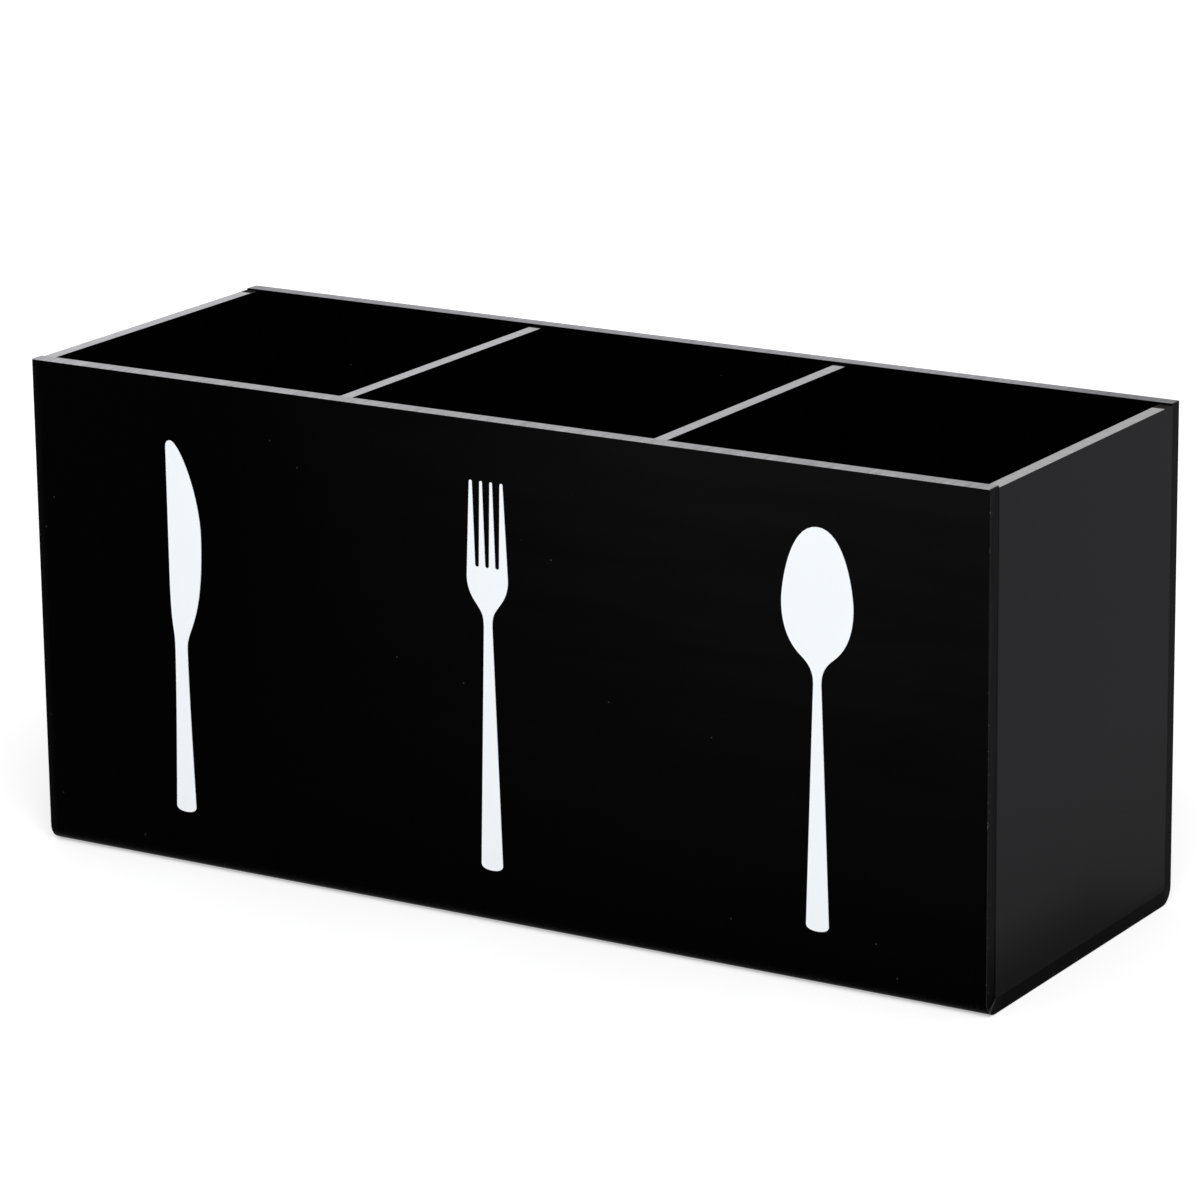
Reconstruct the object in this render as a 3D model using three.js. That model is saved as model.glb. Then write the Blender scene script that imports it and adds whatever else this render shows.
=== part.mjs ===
// Flatware caddy: an open-topped box of gloss black acrylic sheet. One sheet is bent twice
// into the front wall, the base and the back wall. Two end panels close it and two dividers
// part it into three equal wells, for knives, forks and spoons. A white film on the front
// wall shows which utensil goes into each well.
//
// Lengths are in millimetres. X runs along the front from the knives to the spoons, Y runs
// from the front to the back, and Z runs up from the table. The origin lies on the table,
// under the middle of the box.
import * as THREE from 'three';

// The whole caddy.
const caddyLength = 305;
const caddyDepth = 110;
const caddyHeight = 143;

// The bent sheet.
const shellThickness = 4.5;
const bendOuterRadius = 5;

// The flat panels, which stand on the base between the front and back walls.
const panelThickness = 4;
const wellCount = 3;
const endPanelDrop = 0.5; // from the rim down to an end panel's top edge
const dividerDrop = 0.8; // from the rim down to a divider's top edge
const endPanelProud = 0.2; // how far an end panel stands out past the shell's cut ends
const bendRelief = 0.3; // by how much a panel's lower corners are rounder than the bend

// The white films. Each is drawn upright from the end of its handle, with the handle's axis
// in the middle. baseHeight is where the handle ends above the table, and axisShift is how
// far the axis lies to the right of the middle of its well.
const filmThickness = 0.15;
const handleEndHeight = 1.7; // of the rounded end of each handle

const knife = {
  baseHeight: 16.5,
  axisShift: -3,
  height: 108.4,
  handleWidth: 6.65,
  neckWidth: 4.15,
  neckToBelly: 32.9, // up to the widest point of the blade
  bellyToTip: 27.2,
  bellyReach: 7.95, // from the axis to the cutting edge at the belly
  spineReach: 3.25, // from the axis to the straight back of the blade
  spineLength: 34,
  tipReach: 1.5, // from the axis to the top of the rounded tip
  tipHeight: 4.4,
};

const fork = {
  baseHeight: 15.9,
  axisShift: -0.35,
  height: 110.1,
  handleWidth: 6.9,
  neckWidth: 2.7,
  neckToWaist: 7.7, // up to where the shoulder turns from hollow to round
  waistWidth: 9.2,
  waistToShoulder: 7.1,
  shoulderWidth: 13.1,
  shoulderToSlots: 2,
  slotDepth: 24.1,
  slotMouth: 2.44,
  slotRoot: 1.24,
  innerTineTip: 0.79, // width of a tine between two slots, at its tip
  outerTineTip: 0.9,
};

const spoon = {
  baseHeight: 15.8,
  axisShift: 1.5,
  height: 110.8,
  handleWidth: 6.88,
  neckWidth: 2.46,
  neckToHeel: 7.6, // up to where the bowl turns from hollow to round
  heelWidth: 9.2,
  heelToWidest: 14.7,
  bowlWidth: 21.56,
  widestToTop: 20.9,
};

// Handles of the curves, as shares of the stretch that each curve runs over, sideways
// first and upwards second.
const endCurveShares = { side: 0.95, middle: 0.2 };
const handleFlareShare = 0.26; // of the knife's handle, which widens faster towards its end
const tipCurveShares = { spine: 0.57, nose: 0.48, belly: [0.34, 0.022], widest: 0.45 };
const bellyCurveShares = { widest: 0.76, neck: 0.19 };
const spineCurveShares = { spine: 0.8, neck: 0.32 };
const shoulderCurveShares = { tines: 0.08, waist: [1.2, 0.47], hollow: [0.75, 0.43], neck: 0.54 };
const bowlCurveShares = { crown: 0.816, side: 0.146, flank: 0.61, heel: [0.4, 0.133] };
const heelCurveShares = { heel: [1.07, 0.38], neck: 0.23 };

const curveSteps = 16;
const bendSteps = 12;

const blackAcrylic = { color: 0x0b0b0c, roughness: 0.12, metalness: 0 };
const whiteFilm = { color: 0xf0f5fa, roughness: 0.45, metalness: 0 };

const halfLength = caddyLength / 2;
const halfDepth = caddyDepth / 2;
const shellLength = caddyLength - 2 * endPanelProud;
const bendInnerRadius = Math.max(bendOuterRadius - shellThickness, 0);
const frontFace = -halfDepth;
const innerHalfDepth = halfDepth - shellThickness;

// Turns a shape drawn in a plane into a solid whose thickness runs along one axis. The
// axes say where the drawing's first and second directions and its thickness go.
const alongX = new THREE.Matrix4().makeBasis(
  new THREE.Vector3(0, 1, 0),
  new THREE.Vector3(0, 0, 1),
  new THREE.Vector3(1, 0, 0),
);
const towardsFront = new THREE.Matrix4().makeBasis(
  new THREE.Vector3(1, 0, 0),
  new THREE.Vector3(0, 0, 1),
  new THREE.Vector3(0, -1, 0),
);

function sheetFrom(outline, thickness, directions) {
  const options = { depth: thickness, bevelEnabled: false, curveSegments: bendSteps };
  return new THREE.ExtrudeGeometry(outline, options).applyMatrix4(directions);
}

function piece(name, geometry, finish) {
  const mesh = new THREE.Mesh(geometry, new THREE.MeshStandardMaterial(finish));
  mesh.name = name;
  return mesh;
}

// The bent sheet seen from its end: down the front, round the bend, along the base, round
// the other bend and up the back, and the same way home along the inside.
function bentShell() {
  const outline = new THREE.Shape();
  const outerTurn = halfDepth - bendOuterRadius;
  outline.moveTo(-halfDepth, caddyHeight);
  outline.lineTo(-halfDepth, bendOuterRadius);
  outline.absarc(-outerTurn, bendOuterRadius, bendOuterRadius, Math.PI, 1.5 * Math.PI, false);
  outline.lineTo(outerTurn, 0);
  outline.absarc(outerTurn, bendOuterRadius, bendOuterRadius, -0.5 * Math.PI, 0, false);
  outline.lineTo(halfDepth, caddyHeight);
  outline.lineTo(innerHalfDepth, caddyHeight);
  if (bendInnerRadius > 0) {
    const innerTurn = innerHalfDepth - bendInnerRadius;
    const turnHeight = shellThickness + bendInnerRadius;
    outline.absarc(innerTurn, turnHeight, bendInnerRadius, 0, -0.5 * Math.PI, true);
    outline.absarc(-innerTurn, turnHeight, bendInnerRadius, -0.5 * Math.PI, -Math.PI, true);
  } else {
    outline.lineTo(innerHalfDepth, shellThickness);
    outline.lineTo(-innerHalfDepth, shellThickness);
  }
  outline.lineTo(-innerHalfDepth, caddyHeight);
  const mesh = piece('bent_shell', sheetFrom(outline, shellLength, alongX), blackAcrylic);
  mesh.position.x = -shellLength / 2;
  return mesh;
}

// A flat panel that fills the shell from wall to wall and from the base up. Its lower
// corners are rounded, so that they clear the inside of the bends.
function flatPanel(name, lowSide, topDrop) {
  const radius = bendInnerRadius + bendRelief;
  const turn = innerHalfDepth - radius;
  const outline = new THREE.Shape();
  const turnHeight = shellThickness + radius;
  outline.moveTo(-innerHalfDepth, caddyHeight - topDrop);
  outline.lineTo(-innerHalfDepth, turnHeight);
  outline.absarc(-turn, turnHeight, radius, Math.PI, 1.5 * Math.PI, false);
  outline.absarc(turn, turnHeight, radius, -0.5 * Math.PI, 0, false);
  outline.lineTo(innerHalfDepth, caddyHeight - topDrop);
  const mesh = piece(name, sheetFrom(outline, panelThickness, alongX), blackAcrylic);
  mesh.position.x = lowSide;
  return mesh;
}

// A cubic curve to a point, with the two points that pull it.
function curveTo(path, pullOut, pullIn, end) {
  path.bezierCurveTo(pullOut[0], pullOut[1], pullIn[0], pullIn[1], end[0], end[1]);
}

// The right half of a handle's rounded end, from its side to the middle of its foot.
function handleEnd(path, halfWidth) {
  const { side, middle } = endCurveShares;
  curveTo(
    path,
    [halfWidth, handleEndHeight * (1 - side)],
    [halfWidth * middle, 0],
    [0, 0],
  );
}

// A silhouette from its two halves, each drawn on the right of the axis and from the top
// down. The second one is turned over to the left.
function joined(rightHalf, leftHalf) {
  const right = rightHalf.getPoints(curveSteps);
  const left = leftHalf
    .getPoints(curveSteps)
    .slice(1, -1)
    .map((point) => new THREE.Vector2(-point.x, point.y))
    .reverse();
  return new THREE.Shape([...right, ...left]);
}

// The side of the knife's handle, from its neck down, and its rounded end.
function knifeHandle(path, neckHeight) {
  const end = knife.handleWidth / 2;
  const flareHeight = neckHeight - handleFlareShare * (neckHeight - handleEndHeight);
  path.quadraticCurveTo(knife.neckWidth / 2, flareHeight, end, handleEndHeight);
  handleEnd(path, end);
}

function knifeOutline() {
  const { height, bellyReach, spineReach, tipReach, tipHeight } = knife;
  const { bellyToTip: edgeRise, neckToBelly: heelRise } = knife;
  const neck = knife.neckWidth / 2;
  const bellyHeight = height - edgeRise;
  const neckHeight = bellyHeight - heelRise;
  const spineTop = height - tipHeight;
  const spineFoot = spineTop - knife.spineLength;
  const spineRise = spineFoot - neckHeight;
  const noseToBelly = tipReach + bellyReach;
  const tip = tipCurveShares;
  const edgeSide = new THREE.Path();
  edgeSide.moveTo(-tipReach, height);
  curveTo(
    edgeSide,
    [tip.belly[0] * noseToBelly - tipReach, height - tip.belly[1] * edgeRise],
    [bellyReach, bellyHeight + tip.widest * edgeRise],
    [bellyReach, bellyHeight],
  );
  curveTo(
    edgeSide,
    [bellyReach, bellyHeight - bellyCurveShares.widest * heelRise],
    [neck, neckHeight + bellyCurveShares.neck * heelRise],
    [neck, neckHeight],
  );
  knifeHandle(edgeSide, neckHeight);
  const spineSide = new THREE.Path();
  spineSide.moveTo(tipReach, height);
  curveTo(
    spineSide,
    [tipReach + tip.nose * tipHeight, height],
    [spineReach, spineTop + tip.spine * tipHeight],
    [spineReach, spineTop],
  );
  spineSide.lineTo(spineReach, spineFoot);
  curveTo(
    spineSide,
    [spineReach, spineFoot - spineCurveShares.spine * spineRise],
    [neck, neckHeight + spineCurveShares.neck * spineRise],
    [neck, neckHeight],
  );
  knifeHandle(spineSide, neckHeight);
  return joined(edgeSide, spineSide);
}

function forkOutline() {
  const { height, slotDepth, slotMouth, waistToShoulder: upper, neckToWaist: lower } = fork;
  const neck = fork.neckWidth / 2;
  const end = fork.handleWidth / 2;
  const waist = fork.waistWidth / 2;
  const shoulder = fork.shoulderWidth / 2;
  const shoulderHeight = height - slotDepth - fork.shoulderToSlots;
  const waistHeight = shoulderHeight - upper;
  const neckHeight = waistHeight - lower;
  const rootRadius = fork.slotRoot / 2;
  const rootHeight = height - slotDepth + rootRadius;
  const slotPitch = slotMouth + fork.innerTineTip;
  const innerTipRadius = fork.innerTineTip / 2;
  const outerTipRadius = fork.outerTineTip / 2;
  const outerTipMiddle = slotPitch + slotMouth / 2 + outerTipRadius;
  const { tines, waist: round, hollow, neck: neckShare } = shoulderCurveShares;
  const right = new THREE.Path();
  right.moveTo(0, rootHeight - rootRadius);
  right.absarc(0, rootHeight, rootRadius, 1.5 * Math.PI, 2 * Math.PI, false);
  right.absarc(slotPitch / 2, height - innerTipRadius, innerTipRadius, Math.PI, 0, true);
  right.absarc(slotPitch, rootHeight, rootRadius, Math.PI, 2 * Math.PI, false);
  right.absarc(outerTipMiddle, height - outerTipRadius, outerTipRadius, Math.PI, 0, true);
  right.lineTo(shoulder, shoulderHeight);
  curveTo(
    right,
    [shoulder, shoulderHeight - tines * upper],
    [waist + round[0] * (shoulder - waist), waistHeight + round[1] * upper],
    [waist, waistHeight],
  );
  curveTo(
    right,
    [waist - hollow[0] * (waist - neck), waistHeight - hollow[1] * lower],
    [neck, neckHeight + neckShare * lower],
    [neck, neckHeight],
  );
  right.lineTo(end, handleEndHeight);
  handleEnd(right, end);
  return joined(right, right);
}

function spoonOutline() {
  const { height, widestToTop, heelToWidest, neckToHeel } = spoon;
  const neck = spoon.neckWidth / 2;
  const end = spoon.handleWidth / 2;
  const bowl = spoon.bowlWidth / 2;
  const heel = spoon.heelWidth / 2;
  const widestHeight = height - widestToTop;
  const heelHeight = widestHeight - heelToWidest;
  const neckHeight = heelHeight - neckToHeel;
  const { crown, side, flank, heel: round } = bowlCurveShares;
  const { heel: hollow, neck: neckShare } = heelCurveShares;
  const right = new THREE.Path();
  right.moveTo(0, height);
  curveTo(
    right,
    [crown * bowl, height],
    [bowl, widestHeight + side * widestToTop],
    [bowl, widestHeight],
  );
  curveTo(
    right,
    [bowl, widestHeight - flank * heelToWidest],
    [heel + round[0] * (bowl - heel), heelHeight + round[1] * heelToWidest],
    [heel, heelHeight],
  );
  curveTo(
    right,
    [heel - hollow[0] * (heel - neck), heelHeight - hollow[1] * neckToHeel],
    [neck, neckHeight + neckShare * neckToHeel],
    [neck, neckHeight],
  );
  right.lineTo(end, handleEndHeight);
  handleEnd(right, end);
  return joined(right, right);
}

// A white film on the front wall, in front of one well.
function film(name, outline, utensil, middle) {
  const mesh = piece(name, sheetFrom(outline, filmThickness, towardsFront), whiteFilm);
  mesh.position.set(middle + utensil.axisShift, frontFace, utensil.baseHeight);
  return mesh;
}

const dividerCount = wellCount - 1;
const wellLength = (caddyLength - 2 * panelThickness - dividerCount * panelThickness) / wellCount;
const wellPitch = wellLength + panelThickness;
const dividerSide = (index) => -halfLength + index * wellPitch;
const wellMiddle = (index) => dividerSide(index) + panelThickness + wellLength / 2;

const caddy = new THREE.Group();
caddy.name = 'flatware_caddy';
caddy.add(bentShell());
caddy.add(flatPanel('end_panel_left', -halfLength, endPanelDrop));
caddy.add(flatPanel('end_panel_right', halfLength - panelThickness, endPanelDrop));
['divider_left', 'divider_right'].forEach((name, index) => {
  caddy.add(flatPanel(name, dividerSide(index + 1), dividerDrop));
});
caddy.add(film('knife_print', knifeOutline(), knife, wellMiddle(0)));
caddy.add(film('fork_print', forkOutline(), fork, wellMiddle(1)));
caddy.add(film('spoon_print', spoonOutline(), spoon, wellMiddle(2)));

export default caddy;
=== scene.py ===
import math

import bmesh
import bpy
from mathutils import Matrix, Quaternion, Vector


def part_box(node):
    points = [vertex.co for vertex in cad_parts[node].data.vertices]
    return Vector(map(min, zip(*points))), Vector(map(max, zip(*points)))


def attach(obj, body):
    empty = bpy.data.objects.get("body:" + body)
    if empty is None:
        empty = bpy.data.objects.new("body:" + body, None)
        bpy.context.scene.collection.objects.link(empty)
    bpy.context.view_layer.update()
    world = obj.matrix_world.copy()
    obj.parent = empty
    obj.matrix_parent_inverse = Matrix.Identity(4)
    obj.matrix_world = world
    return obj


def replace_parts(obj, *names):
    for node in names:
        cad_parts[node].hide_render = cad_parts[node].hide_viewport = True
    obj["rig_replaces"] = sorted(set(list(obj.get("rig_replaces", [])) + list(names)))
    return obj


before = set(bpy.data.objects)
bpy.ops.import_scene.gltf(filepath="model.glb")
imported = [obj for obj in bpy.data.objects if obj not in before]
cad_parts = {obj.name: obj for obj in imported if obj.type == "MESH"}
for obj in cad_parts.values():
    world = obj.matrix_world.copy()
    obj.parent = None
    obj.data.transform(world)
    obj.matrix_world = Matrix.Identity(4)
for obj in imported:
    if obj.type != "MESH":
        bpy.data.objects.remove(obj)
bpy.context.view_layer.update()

# Bent sheet
# One piece of gloss black acrylic is the front wall, the base and the back wall. It is sawn
# to size, heated along two lines and folded up while soft, which squeezes the inside of
# each bend a little way out past the cut ends. Its sawn rim is left pale grey.
sheet_low, sheet_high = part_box("bent_shell")
sheet_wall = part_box("divider_left")[0].y - sheet_low.y
sheet_size = sheet_high - sheet_low
bend_radius = 0.005
bend_steps = 10
bend_reach = bend_radius + 0.004  # how far from a corner the fold still shows at the cut end
fold_cuts = 4  # rows across the thickness, for the shape of the cut end at a fold
bulge = 0.0002  # how far the squeezed inside of a fold stands out past the cut end
bulge_reach = 0.0042
crease = 0.00012  # height of the ridge that runs across the thickness at a fold
crease_reach = 0.0009
arris = 0.0002  # width of the scraped corner along every cut
arris_steps = 2
sharp_angle = math.radians(40)
nearly = 1e-5  # places closer than this are the same
square_on, slanting = 0.99, 0.2  # the least share of a normal along X, on a cut end and on its arris


def near(value, place):
    return abs(value - place) < nearly


def choose(piece, kind, wanted):
    """Selects, in edit mode, the piece's vertices, edges or faces that pass a test."""
    bpy.ops.mesh.select_mode(type=kind)
    bpy.ops.mesh.select_all(action="DESELECT")
    mesh = bmesh.from_edit_mesh(piece.data)
    for item in {"VERT": mesh.verts, "EDGE": mesh.edges, "FACE": mesh.faces}[kind]:
        item.select_set(wanted(item))
    mesh.select_flush_mode()
    bmesh.update_edit_mesh(piece.data)


def choose_foot_corners(piece, foot):
    """Selects the piece's edges that run along X at its foot."""
    choose(
        piece,
        "EDGE",
        lambda edge: all(near(v.co.z, foot) for v in edge.verts) and near(*(v.co.y for v in edge.verts)),
    )


def begin(add_primitive, name, middle, size):
    """Adds a primitive of unit size and gives it its name, place and size."""
    bpy.ops.object.select_all(action="DESELECT")
    add_primitive(size=1, location=middle)
    piece = bpy.context.object
    piece.name = name
    piece.scale = size
    bpy.ops.object.transform_apply(location=True, rotation=True, scale=True)
    bpy.ops.object.mode_set(mode="EDIT")
    return piece


def apply_modifier(piece, kind, **settings):
    bpy.ops.object.modifier_add(type=kind)
    modifier = piece.modifiers[-1]
    for name, value in settings.items():
        setattr(modifier, name, value)
    bpy.ops.object.modifier_apply(modifier=modifier.name)


def scrape_arrises(piece, width, cemented):
    """Takes the sharpness off every cut corner, in edit mode, but not along a cemented joint."""
    choose(piece, "EDGE", lambda edge: edge.calc_face_angle(0) > sharp_angle and not cemented(edge))
    bpy.ops.mesh.bevel(offset=width, segments=arris_steps, affect="EDGES")
    bpy.ops.object.mode_set(mode="OBJECT")


def shade(piece):
    bpy.ops.object.shade_smooth_by_angle(angle=sharp_angle)
    apply_modifier(piece, "WEIGHTED_NORMAL", keep_sharp=True)


def give_materials(piece, materials, number_of):
    """Puts the materials on the piece, and on each face the one whose number number_of gives."""
    for material in materials:
        piece.data.materials.append(material)
    bpy.ops.object.mode_set(mode="EDIT")
    for number in range(1, len(materials)):
        choose(piece, "FACE", lambda face: number_of(face) == number)
        piece.active_material_index = number
        bpy.ops.object.material_slot_assign()
    bpy.ops.object.mode_set(mode="OBJECT")


def feed(material, node, name, value):
    """Gives a node's input a number or a colour, or joins another node's output to it."""
    socket = next(s for s in node.inputs if s.name == name and s.enabled)
    if isinstance(value, bpy.types.NodeSocket):
        material.node_tree.links.new(value, socket)
    elif socket.type == "RGBA":
        socket.default_value = (*value, 1.0)
    else:
        socket.default_value = value


def add_node(material, kind, inputs, **properties):
    """Adds a shader node with its properties and inputs, and returns its first output in use."""
    node = material.node_tree.nodes.new(kind)
    for name, value in properties.items():
        setattr(node, name, value)
    for name, value in inputs.items():
        feed(material, node, name, value)
    return next(s for s in node.outputs if s.enabled)


def begin_material(name):
    material = bpy.data.materials.new(name)
    material.use_nodes = True
    shader = material.node_tree.nodes["Principled BSDF"]
    return material, shader


def own_place(material):
    """The point's place on the object's own coordinates, in metres."""
    return material.node_tree.nodes.new("ShaderNodeTexCoord").outputs["Object"]


def own_coordinate(material, axis):
    node = material.node_tree.nodes.new("ShaderNodeSeparateXYZ")
    material.node_tree.links.new(own_place(material), node.inputs[0])
    return node.outputs[axis]


def worked_out(material, operation, *values):
    """A number that a Math node works out from one or more others."""
    node = material.node_tree.nodes.new("ShaderNodeMath")
    node.operation = operation
    for socket, value in zip(node.inputs, values):
        if isinstance(value, bpy.types.NodeSocket):
            material.node_tree.links.new(value, socket)
        else:
            socket.default_value = value
    return node.outputs[0]


def grain(material, repeats, detail=3.0, roughness=0.5):
    """Noise that repeats so many times per metre along X, Y and Z."""
    spread = add_node(material, "ShaderNodeMapping", {"Vector": own_place(material), "Scale": repeats})
    noise = {"Vector": spread, "Scale": 1.0, "Detail": detail, "Roughness": roughness}
    return add_node(material, "ShaderNodeTexNoise", noise)


def ranged(material, value, low, high, new_low=0.0, new_high=1.0, kind="LINEAR"):
    """Maps a value's range onto another, and keeps it inside that."""
    limits = {"Value": value, "From Min": low, "From Max": high, "To Min": new_low, "To Max": new_high}
    return add_node(material, "ShaderNodeMapRange", limits, interpolation_type=kind)


def fading(material, value, low, high, full=1.0):
    """Full where a value is low, and less and less to nothing where it is high."""
    return ranged(material, value, low, high, full, 0.0)


def blended(material, share, first, second):
    mix = {"Factor": share, "A": first, "B": second}
    return add_node(material, "ShaderNodeMix", mix, data_type="RGBA")


def relief(material, height, depth):
    """A normal that follows a height of so many metres."""
    return add_node(material, "ShaderNodeBump", {"Height": height, "Strength": 1.0, "Distance": depth})


noise_span = (0.3, 0.7)  # most of a noise lies between these
wave_repeats, wave_height = (14, 14, 120), 0.000008
cloud_repeats, cloud_span, clouded_roughness = (35, 35, 35), (0.3, 0.75), (0.07, 0.15)
specks_per_metre, speck_edge = 100.0, (0.014, 0.024)  # a speck ends between these shares of its room
rub_repeats, rub_span = (1800, 1800, 1800), (0.6, 0.75)
scuffed_foot = (0.001, 0.0035)  # the heights between which the scuffs end
dust_grey, scuff_grey = (0.045, 0.045, 0.045), (0.03, 0.03, 0.03)
acrylic_ior = 1.49


def waves(material):
    """The long shallow waves that lie along cast sheet."""
    return grain(material, wave_repeats, detail=4.0)


def gloss_black(name, gloss, body):
    """Cast acrylic from under its masking film: a faint ripple, a little dust and a scuffed foot.

    The gloss is a specular level, and body gives the base colour, which on the outside and the
    end panels carries painted reflection and painted shade.
    """
    material, shader = begin_material(name)
    clouds = grain(material, cloud_repeats, detail=5.0, roughness=0.6)
    cells = {"Vector": own_place(material), "Scale": specks_per_metre}
    dust = fading(material, add_node(material, "ShaderNodeTexVoronoi", cells), *speck_edge)
    dusty = blended(material, dust, body(material), dust_grey)
    rub = ranged(material, grain(material, rub_repeats, detail=1.0), *rub_span)
    foot = fading(material, own_coordinate(material, "Z"), *scuffed_foot)
    scuffs = worked_out(material, "MULTIPLY", rub, foot)
    feed(material, shader, "Base Color", blended(material, scuffs, dusty, scuff_grey))
    feed(material, shader, "Roughness", ranged(material, clouds, *cloud_span, *clouded_roughness))
    feed(material, shader, "Normal", relief(material, waves(material), wave_height))
    feed(material, shader, "IOR", acrylic_ior)
    feed(material, shader, "Specular IOR Level", gloss)
    return material


# The second black is the lightest painted reflection on the outside of the sheet.
clean_black, reflection_black = (0.0002, 0.0002, 0.00021), (0.0044, 0.0044, 0.0047)
reflection_part, reflection_patches = (-0.085, 0.07), (0.75, 1.1)  # where the painted reflection grows along X, and how uneven it is
end_highlight_width, end_highlight_share = 0.0028, 0.8  # how far in from the left end the painted highlight reaches, and how strong it is


def painted_reflection(material):
    """Black with a painted reflection, lighter up and to the right, and a painted highlight along the left
    end.
    """
    along = own_coordinate(material, "X")
    upwards = ranged(material, own_coordinate(material, "Z"), sheet_low.z, sheet_high.z)
    rightwards = ranged(material, along, *reflection_part)
    even_reflection = worked_out(material, "MULTIPLY", upwards, rightwards)
    patchy = ranged(material, waves(material), *noise_span, *reflection_patches)
    reflection = worked_out(material, "MULTIPLY", even_reflection, patchy)
    end = fading(material, along, sheet_low.x, sheet_low.x + end_highlight_width, full=end_highlight_share)
    return blended(material, worked_out(material, "MAXIMUM", reflection, end), clean_black, reflection_black)


foot_shade_heights = (0.0, 0.024)  # the heights between which the painted shade at the foot ends
back_part, foot_shade_lift = (0.0, 0.046), (-0.004, 0.0068)  # what is added to a height, over this part of Y, so the painted shade reaches lower towards the back
slow_part, slow_share = (0.0, 0.06), (0.58, 1.0)  # a second, slower rise of the painted reflection over these heights


def clear_of_painted_foot_shade(material):
    """From 0 at the foot, in the deepest painted shade, to 1 from nearly half way up.

    The painted shade reaches lower towards the back.
    """
    up = own_coordinate(material, "Z")
    lift = ranged(material, own_coordinate(material, "Y"), *back_part, *foot_shade_lift, kind="SMOOTHSTEP")
    near_foot = ranged(material, worked_out(material, "ADD", up, lift), *foot_shade_heights, kind="SMOOTHSTEP")
    return worked_out(material, "MULTIPLY", near_foot, ranged(material, up, *slow_part, *slow_share))


whole_length = (sheet_low.x, sheet_high.x)
saw_dark, saw_light = 0.74, 1.14  # the tones of the saw's marks, as shares of the rim's own
blotch_repeats, blotch_span, blotch_share = (90, 90, 90), (0.35, 0.75), (0.0, 0.25)
stain_edge, cement_brown = 0.0004, (0.0085, 0.0072, 0.0066)
sawn_roughness, sawn_depth, sawn_gloss = (0.5, 0.68), 0.00003, 0.015


def sawn_rim(name, repeats, pale, stained_from=None, painted_dimming=0.0, painted_dimming_part=whole_length):
    """A rim straight from the saw: pale grey and matt, with fine marks across the sheet.

    Cement that has run onto it makes it dark, from a place along Y on. Painted shade darkens a rim
    towards its right end by a share, more and more over a part of its length. The pale tone each rim
    is given is set lighter or darker by how the light falls on it, as painted light and shade.
    """
    material, shader = begin_material(name)
    marks = grain(material, repeats, detail=2.0)
    dark = tuple(saw_dark * c for c in pale)
    light = tuple(saw_light * c for c in pale)
    marked = blended(material, ranged(material, marks, *noise_span), dark, light)
    blotches = ranged(material, grain(material, blotch_repeats), *blotch_span, *blotch_share)
    colour = blended(material, blotches, marked, dark)
    if painted_dimming:
        # Painted shade towards the right end.
        dimming = ranged(material, own_coordinate(material, "X"), *painted_dimming_part, 0.0, painted_dimming)
        colour = blended(material, dimming, colour, clean_black)
    if stained_from is not None:
        stain = ranged(material, own_coordinate(material, "Y"), stained_from, stained_from + stain_edge)
        colour = blended(material, stain, colour, cement_brown)
    feed(material, shader, "Base Color", colour)
    feed(material, shader, "Roughness", ranged(material, marks, *noise_span, *sawn_roughness))
    feed(material, shader, "Normal", relief(material, marks, sawn_depth))
    feed(material, shader, "Specular IOR Level", sawn_gloss)
    return material


scratch_repeats, scratch_roughness = (500, 1300, 60), (0.2, 0.34)
scratched_black = (0.0068, 0.0068, 0.0073), (0.0112, 0.0112, 0.0119)
scratched_span, dull_span = (0.35, 0.75), (0.35, 0.65)
dull_black = (0.0088, 0.0088, 0.0094), (0.0118, 0.0118, 0.0125)
# The black at the foot of the cut ends is painted shade.
end_foot_shade = (0.0014, 0.0014, 0.0016)
dull_band, dull_share = (0.0012, 0.0022), 0.7  # how far in from the outer corner it is duller
fold_end = (sheet_wall - 0.001, sheet_wall + 0.0002)  # where the crease and the hollow end
crease_place, crease_highlight_grey = 0.0003, (0.036, 0.036, 0.037)  # how far behind the fold's line it lies; its grey is a painted highlight
crease_part, crease_widths = (0.001, 0.004), (0.0012, 0.0006)  # it narrows from the front inwards
hollow_place, hollow_edge = 0.0014, (0.0005, 0.0014)  # how far before that line the painted shade of the hollow lies
chip_repeats, chip_span, chip_grey = (900, 900, 500), (0.66, 0.74), (0.042, 0.042, 0.044)
chipped_band = (0.0003, 0.0016)  # how far in from the outer corner the chips run
scraped_gloss = 0.003


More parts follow.
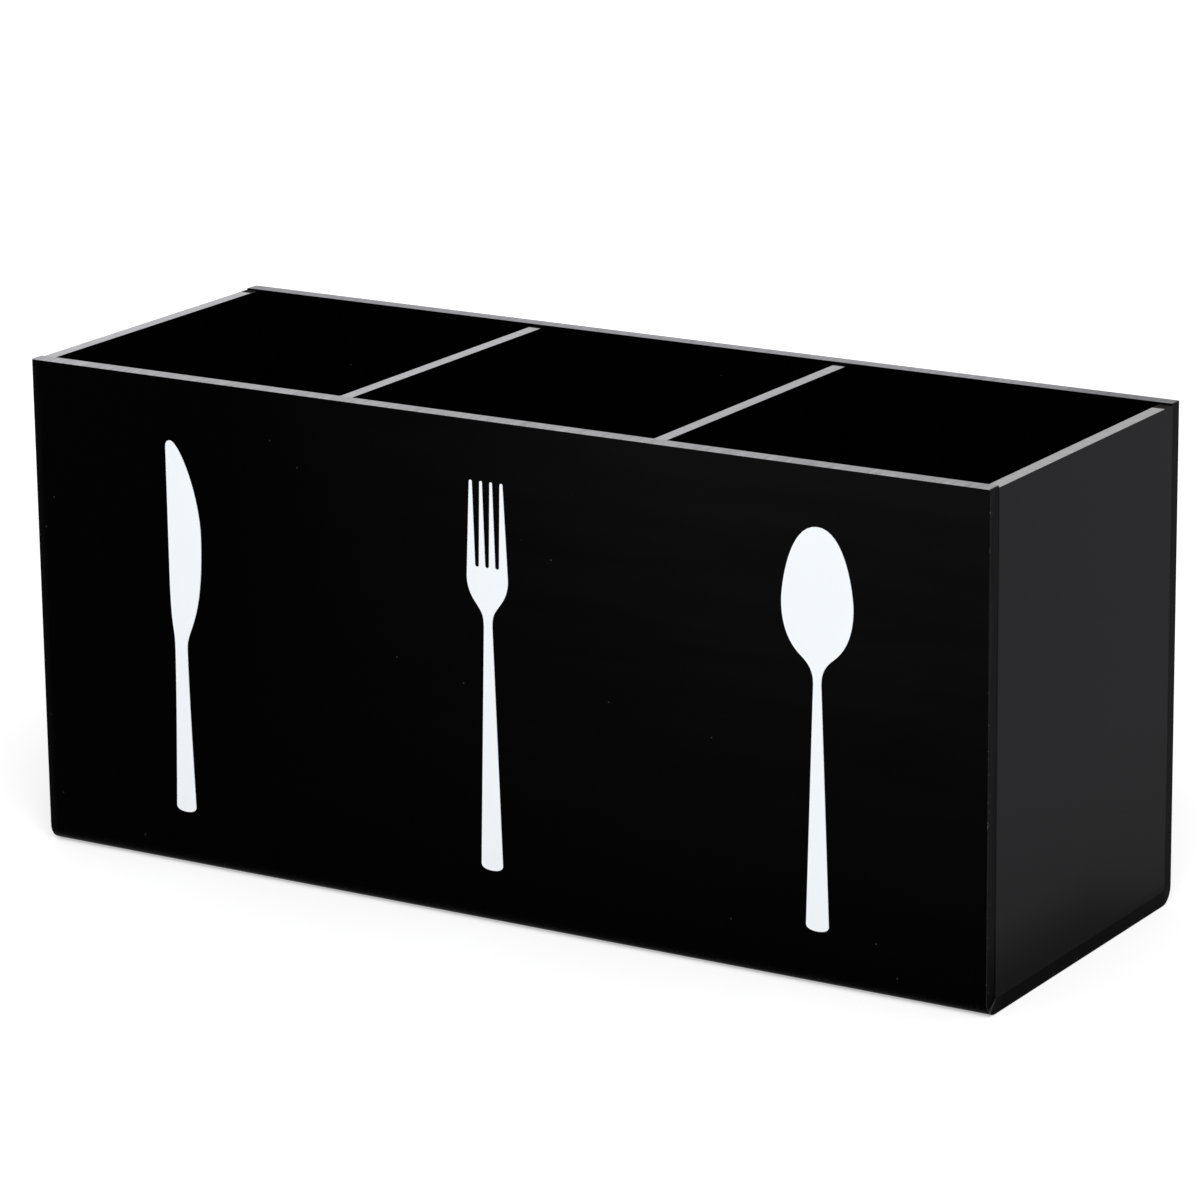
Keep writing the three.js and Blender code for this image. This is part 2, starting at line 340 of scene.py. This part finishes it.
def scraped_end():
    """The cut ends of the sheet, scraped nearly smooth, with the outer and rear parts left duller.

    Painted shade darkens them towards the foot. Across the thickness at the front fold, a painted
    highlight lies along the crease, with painted shade in the hollow before it. A few chips run
    in from the outer corner.
    """
    material, shader = begin_material("scraped_black_end")
    scratches = grain(material, scratch_repeats, detail=2.0)
    body = blended(material, ranged(material, scratches, *scratched_span), *scratched_black)
    dull = blended(material, ranged(material, scratches, *dull_span), *dull_black)
    front_to_back, up = own_coordinate(material, "Y"), own_coordinate(material, "Z")
    off_middle = worked_out(material, "ABSOLUTE", front_to_back)
    from_wall = worked_out(material, "SUBTRACT", sheet_high.y, off_middle)
    from_corner = worked_out(material, "MINIMUM", from_wall, up)
    outer = fading(material, from_corner, *dull_band, full=dull_share)
    rear = ranged(material, front_to_back, sheet_low.y, sheet_high.y)
    scraped = blended(material, worked_out(material, "MAXIMUM", outer, rear), body, dull)
    # Painted shade darkens the cut end towards the foot.
    faded = blended(material, clear_of_painted_foot_shade(material), end_foot_shade, scraped)

    # Across the front fold: painted shade in a hollow, and a painted highlight along the crease.
    from_front = worked_out(material, "ADD", front_to_back, sheet_high.y)
    in_fold = fading(material, from_front, *fold_end)
    off_fold = worked_out(material, "SUBTRACT", from_front, up)
    off_hollow = worked_out(material, "ABSOLUTE", worked_out(material, "ADD", off_fold, hollow_place))
    hollow = worked_out(material, "MULTIPLY", fading(material, off_hollow, *hollow_edge), in_fold)
    folded = blended(material, hollow, faded, clean_black)
    off_crease = worked_out(material, "ABSOLUTE", worked_out(material, "SUBTRACT", off_fold, crease_place))
    crease_width = ranged(material, from_front, *crease_part, *crease_widths)
    crease_highlight = worked_out(material, "MULTIPLY", fading(material, off_crease, 0.0, crease_width), in_fold)
    highlighted = blended(material, crease_highlight, folded, crease_highlight_grey)

    flaws = ranged(material, grain(material, chip_repeats, detail=1.0), *chip_span)
    chips = worked_out(material, "MULTIPLY", flaws, fading(material, from_corner, *chipped_band))
    feed(material, shader, "Base Color", blended(material, chips, highlighted, chip_grey))
    feed(material, shader, "Roughness", ranged(material, scratches, *noise_span, *scratch_roughness))
    feed(material, shader, "Specular IOR Level", scraped_gloss)
    return material


nick_repeats, nick_span = (700, 700, 700), (0.63, 0.79)
nicked_foot, more_nicks = (0.001, 0.004), 0.12  # the foot has more, up to between these heights
# The arris black is lighter than the gloss, partly for its scraped finish and partly as a painted highlight
# along the corner.
arris_black_and_highlight, nick_grey = (0.008, 0.008, 0.0085), (0.12, 0.12, 0.125)
arris_roughness, arris_gloss = (0.25, 0.4), 0.03


def scraped_arris():
    """The narrow scraped corner beside a cut, duller than the gloss and nicked, most at the foot; its lighter
    black is partly a painted highlight.
    """
    material, shader = begin_material("scraped_black_arris")
    foot = fading(material, own_coordinate(material, "Z"), *nicked_foot)
    flaws = grain(material, nick_repeats, detail=2.0)
    nicks = worked_out(material, "MULTIPLY_ADD", foot, more_nicks, flaws)
    colour = blended(material, ranged(material, nicks, *nick_span), arris_black_and_highlight, nick_grey)
    feed(material, shader, "Base Color", colour)
    feed(material, shader, "Roughness", ranged(material, nicks, *noise_span, *arris_roughness))
    feed(material, shader, "Specular IOR Level", arris_gloss)
    return material


sheet_gloss, inside_gloss = 0.006, 0.15
wall_marks = (1500, 120, 120)  # the saw's marks on the walls' rims, per metre along X, Y and Z
sheet_outside = gloss_black("gloss_black_outside", sheet_gloss, painted_reflection)
sheet_inside = gloss_black("gloss_black_inside", inside_gloss, lambda material: clean_black)
# Each rim is the same sawn finish; its pale tone is set lighter or darker as painted light and shade, darkest
# at the back, and the dimming is painted shade towards the right.
front_rim = sawn_rim("sawn_front_rim", wall_marks, pale=(0.448, 0.446, 0.459), painted_dimming=0.22)
back_rim = sawn_rim(
    "sawn_back_rim", wall_marks, pale=(0.336, 0.333, 0.35), painted_dimming=0.36, painted_dimming_part=(0.1, 0.13)
)
black_end = scraped_end()
black_arris = scraped_arris()

sheet = begin(
    bpy.ops.mesh.primitive_plane_add,
    "bent_sheet",
    (*((sheet_low + sheet_high) / 2).xy, sheet_low.z),
    (sheet_size.x, sheet_size.y, 1),
)
for side in (sheet_low.y, sheet_high.y):
    choose(sheet, "EDGE", lambda edge: all(near(v.co.y, side) for v in edge.verts))
    bpy.ops.mesh.extrude_region_move(TRANSFORM_OT_translate={"value": (0, 0, sheet_size.z)})
choose_foot_corners(sheet, sheet_low.z)
bpy.ops.mesh.bevel(offset=bend_radius, segments=bend_steps, affect="EDGES")
bpy.ops.object.mode_set(mode="OBJECT")
apply_modifier(sheet, "SOLIDIFY", thickness=sheet_wall, offset=1, use_even_offset=True)
bpy.ops.object.mode_set(mode="EDIT")
for point, direction in (
    ((0, 0, sheet_low.z + bend_reach), (0, 0, 1)),
    ((0, sheet_low.y + bend_reach, 0), (0, 1, 0)),
    ((0, sheet_high.y - bend_reach, 0), (0, 1, 0)),
):
    bpy.ops.mesh.select_all(action="SELECT")
    bpy.ops.mesh.bisect(plane_co=point, plane_no=direction)
choose(
    sheet,
    "EDGE",
    lambda edge: near(edge.calc_length(), sheet_wall)
    and all(v.co.z < sheet_low.z + bend_reach + nearly for v in edge.verts),
)
bpy.ops.mesh.subdivide(number_cuts=fold_cuts)


def pull_out(end, distance, reach):
    """Moves what is selected outwards along X, and what is near it less and less."""
    bpy.ops.transform.translate(
        value=(math.copysign(distance, end), 0, 0),
        use_proportional_edit=True,
        proportional_edit_falloff="SMOOTH",
        proportional_size=reach,
    )


inner_radius = bend_radius - sheet_wall
front_fold_y, back_fold_y = sheet_low.y + bend_radius, sheet_high.y - bend_radius
end_depth = 2 * bulge  # the points of a cut end lie in this depth, pulled out or not
for end in (sheet_low.x, sheet_high.x):
    for fold_y in (front_fold_y, back_fold_y):
        fold = Vector((end, fold_y, sheet_low.z + bend_radius))
        choose(sheet, "VERT", lambda v: (v.co - fold).length < inner_radius + nearly)
        pull_out(end, bulge, bulge_reach)
    choose(
        sheet,
        "VERT",
        lambda v: abs(v.co.x - end) < end_depth
        and v.co.y < front_fold_y
        and near(v.co.y - sheet_low.y, v.co.z - sheet_low.z),
    )
    pull_out(end, crease, crease_reach)


def cemented_to_a_panel(edge):
    """True along the inner edge of the cut ends, where an end panel is cemented in."""
    return all(
        abs(v.co.x) > sheet_high.x - nearly
        and abs(v.co.y) < sheet_high.y - sheet_wall + nearly
        and v.co.z > sheet_wall - nearly
        for v in edge.verts
    )


scrape_arrises(sheet, arris, cemented_to_a_panel)
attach(sheet, "root")
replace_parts(sheet, "bent_shell")
shade(sheet)

outer_face, front_top, cut_end, corner, back_top, inner_face = range(6)


def finish_of_sheet(face):
    """The number of the face's material in the sheet's list."""
    place = face.calc_center_median()
    if abs(face.normal.x) > square_on:
        return cut_end
    if abs(face.normal.x) > slanting:
        return corner
    if place.z > sheet_high.z - arris - nearly:
        if place.y < 0:
            return front_top
        return back_top if place.y > sheet_high.y - sheet_wall + arris else corner
    within = place.z > sheet_wall - nearly and abs(place.y) < sheet_high.y - sheet_wall + nearly
    return inner_face if within else outer_face


give_materials(
    sheet,
    [sheet_outside, front_rim, black_end, black_arris, back_rim, sheet_inside],
    finish_of_sheet,
)

# End panels
# Two flat gloss black panels, a little thinner than the sheet, that close its ends. They are
# cemented between its walls, with the lower corners rounded to clear the folds, and each
# stands a hair out of the sheet's cut ends and just below its rim.
corner_round = 0.0008  # clears the inside of the fold
corner_steps = 4
panel_arris = 0.0001
left_face, panel_rim, panel_edge, right_face = range(4)


def finish_of_panel(face, top):
    """The number of the face's material: left face, rim, front, back and foot, or right face."""
    if face.normal.x < -slanting:
        return left_face
    if face.normal.x > slanting:
        return right_face
    return panel_rim if face.calc_center_median().z > top - nearly else panel_edge


def flat_panel(node, name, materials):
    """A flat panel with its lower corners rounded, its arrises scraped and its rim sawn."""
    low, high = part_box(node)
    panel = begin(bpy.ops.mesh.primitive_cube_add, name, (low + high) / 2, high - low)
    choose_foot_corners(panel, low.z)
    bpy.ops.mesh.bevel(offset=corner_round, segments=corner_steps, affect="EDGES")
    scrape_arrises(panel, panel_arris, lambda edge: False)
    shade(panel)
    give_materials(panel, materials, lambda face: finish_of_panel(face, high.z))
    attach(panel, "root")
    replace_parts(panel, node)
    return panel


def second_panel(panel, node, name, materials):
    """A copy with its own mesh, set where another node is."""
    bpy.ops.object.select_all(action="DESELECT")
    panel.select_set(True)
    bpy.context.view_layer.objects.active = panel
    bpy.ops.object.duplicate(linked=False)
    copy = bpy.context.object
    copy.name = name
    copy.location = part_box(node)[0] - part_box(panel["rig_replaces"][0])[0]
    bpy.ops.object.transform_apply(location=True, rotation=True, scale=True)
    for number, material in enumerate(materials):
        copy.data.materials[number] = material
    del copy["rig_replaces"]
    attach(copy, "root")
    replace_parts(copy, node)


joint_shade_part, joint_shade_share = (0.004, 0.0072), (0.1, 1.0)  # the painted shade along the joint gives way to the grey between these heights
# The foot black is painted shade, and the grey is a painted reflection on the panel.
panel_foot_shade, panel_reflection_grey = (0.0005, 0.0005, 0.0005), (0.0157, 0.0157, 0.0174)


def painted_panel_reflection(material):
    """A grey painted all over for the panel's reflection, with painted shade that darkens it towards the foot
    and most along the joint there.
    """
    up = own_coordinate(material, "Z")
    clear_of_joint_shade = ranged(material, up, *joint_shade_part, *joint_shade_share, kind="SMOOTHSTEP")
    share = worked_out(material, "MULTIPLY", clear_of_painted_foot_shade(material), clear_of_joint_shade)
    return blended(material, share, panel_foot_shade, panel_reflection_grey)


panel_gloss = 0.009
panel_marks = (120, 1500, 120)
end_face = gloss_black("gloss_black_end_panel", panel_gloss, painted_panel_reflection)
# The end rims' pale tones differ as painted light and shade, the left lighter than the right.
left_end_rim = sawn_rim(
    "sawn_left_end_rim", panel_marks, pale=(0.528, 0.525, 0.546), stained_from=0.0468
)
right_end_rim = sawn_rim(
    "sawn_right_end_rim", panel_marks, pale=(0.423, 0.42, 0.426), stained_from=0.0456
)
left_end = flat_panel("end_panel_left", "left_end_panel", [end_face, left_end_rim, end_face, sheet_inside])
second_panel(
    left_end, "end_panel_right", "right_end_panel", [sheet_inside, right_end_rim, end_face, end_face]
)

# Dividers
# Two flat gloss black panels that part the caddy into three wells. They are cemented across
# the sheet, to its walls and its base, with the rim sawn like the others.
# The dividers' rim tone and its dimming towards the right are painted light and shade.
divider_rim = sawn_rim(
    "sawn_divider_rim", panel_marks, pale=(0.554, 0.551, 0.57), stained_from=0.0489, painted_dimming=0.27
)
divider_materials = [sheet_inside, divider_rim, sheet_inside, sheet_inside]
left_divider = flat_panel("divider_left", "left_divider", divider_materials)
second_panel(left_divider, "divider_right", "right_divider", divider_materials)

# Silhouettes
# A knife, a fork and a spoon in thin white film, one on the front of each well. They are cut
# or printed flat, so they keep the shape of the CAD model and get a satin film finish here.
thickness_repeats, thickness_span = (60, 60, 60), (0.3, 0.65)
thin_white, full_white = (0.879, 0.918, 0.959), (0.886, 0.925, 0.965)
tooth_repeats, tooth_depth = (2500, 2500, 2500), 0.000006
satin_roughness, satin_gloss = (0.42, 0.55), 0.2


def white_film():
    """White film: nearly even, a little cooler and thinner here and there, with a fine satin tooth."""
    material, shader = begin_material("white_satin_film")
    thickness = ranged(material, grain(material, thickness_repeats), *thickness_span)
    tooth = grain(material, tooth_repeats, detail=2.0)
    feed(material, shader, "Base Color", blended(material, thickness, thin_white, full_white))
    feed(material, shader, "Roughness", ranged(material, tooth, *noise_span, *satin_roughness))
    feed(material, shader, "Normal", relief(material, tooth, tooth_depth))
    feed(material, shader, "Specular IOR Level", satin_gloss)
    return material


film = white_film()
for name in ("knife_print", "fork_print", "spoon_print"):
    bpy.data.objects[name].material_slots[0].material = film

# Floor
# A plain white table that the caddy stands on. It isn't part of the caddy. It lies a hair
# lower than the foot, so that the two don't share a plane.
table_size, table_drop = 8, 0.00005
table_white, table_roughness = (0.75, 0.75, 0.75), 0.9
glow_part, glow_strength = (0.4, 1.2), (0.42, 0.7)  # it grows between these distances
plain_white = (1.0, 1.0, 1.0)
bpy.ops.object.select_all(action="DESELECT")
bpy.ops.mesh.primitive_plane_add(size=table_size, location=(0, 0, -table_drop))
floor = bpy.context.object
floor.name = "floor"


def seen(material):
    """1 for what is seen straight, in gloss or through glass, and 0 for the light on things."""
    path = material.node_tree.nodes.new("ShaderNodeLightPath").outputs
    straight = worked_out(material, "MAXIMUM", path["Is Camera Ray"], path["Is Glossy Ray"])
    return worked_out(material, "MAXIMUM", straight, path["Is Transmission Ray"])


floor_white, floor_shader = begin_material("white_table")
off_centre = {"Vector": own_place(floor_white)}
distance = add_node(floor_white, "ShaderNodeVectorMath", off_centre, operation="LENGTH").node.outputs["Value"]
glow = worked_out(
    floor_white, "MULTIPLY", ranged(floor_white, distance, *glow_part, *glow_strength), seen(floor_white)
)
feed(floor_white, floor_shader, "Base Color", table_white)
feed(floor_white, floor_shader, "Roughness", table_roughness)
feed(floor_white, floor_shader, "Specular IOR Level", 0.0)
feed(floor_white, floor_shader, "Emission Color", plain_white)
feed(floor_white, floor_shader, "Emission Strength", glow)
floor.data.materials.append(floor_white)

# Light
# A white room, which lights things less than it shows, and one large soft lamp, above, in
# front and to the right.
room_strength = (0.6, 1.0)
world = bpy.data.worlds.new("white_room")
bpy.context.scene.world = world
world.use_nodes = True
room = world.node_tree.nodes["Background"]
feed(world, room, "Color", plain_white)
feed(world, room, "Strength", ranged(world, seen(world), 0.0, 1.0, *room_strength))
lamp_aim, lamp_stand = Vector((0, 0, 0.07)), Vector((2.0, -3.0, 3.4))
bpy.ops.object.light_add(type="AREA", location=lamp_aim + lamp_stand)
lamp = bpy.context.object
lamp.name = "soft_lamp"
lamp.rotation_euler = (lamp.location - lamp_aim).to_track_quat("Z", "Y").to_euler()
lamp.data.size = 3.2
lamp.data.energy = 154

# Camera
# Where the photograph was taken from: the front right and a little above, with a slight
# roll. Its stand is measured from the point aimed at, to its own right, up and back.
azimuth, height_angle, roll = (math.radians(a) for a in (31.7376, 15.6497, -0.6898))
away = Vector(
    (
        math.sin(azimuth) * math.cos(height_angle),
        -math.cos(azimuth) * math.cos(height_angle),
        math.sin(height_angle),
    )
)
turn = away.to_track_quat("Z", "Y") @ Quaternion((0, 0, 1), roll)
camera_aim, camera_stand = Vector((0, 0.000917, 0.071167)), Vector((0.000531, 0.007859, 1.5183))
bpy.ops.object.camera_add(location=camera_aim + turn @ camera_stand)
camera = bpy.context.object
camera.rotation_euler = turn.to_euler()
camera.data.sensor_width = 36
camera.data.lens = 162.654
bpy.context.scene.camera = camera
bpy.context.scene.view_settings.view_transform = "Standard"
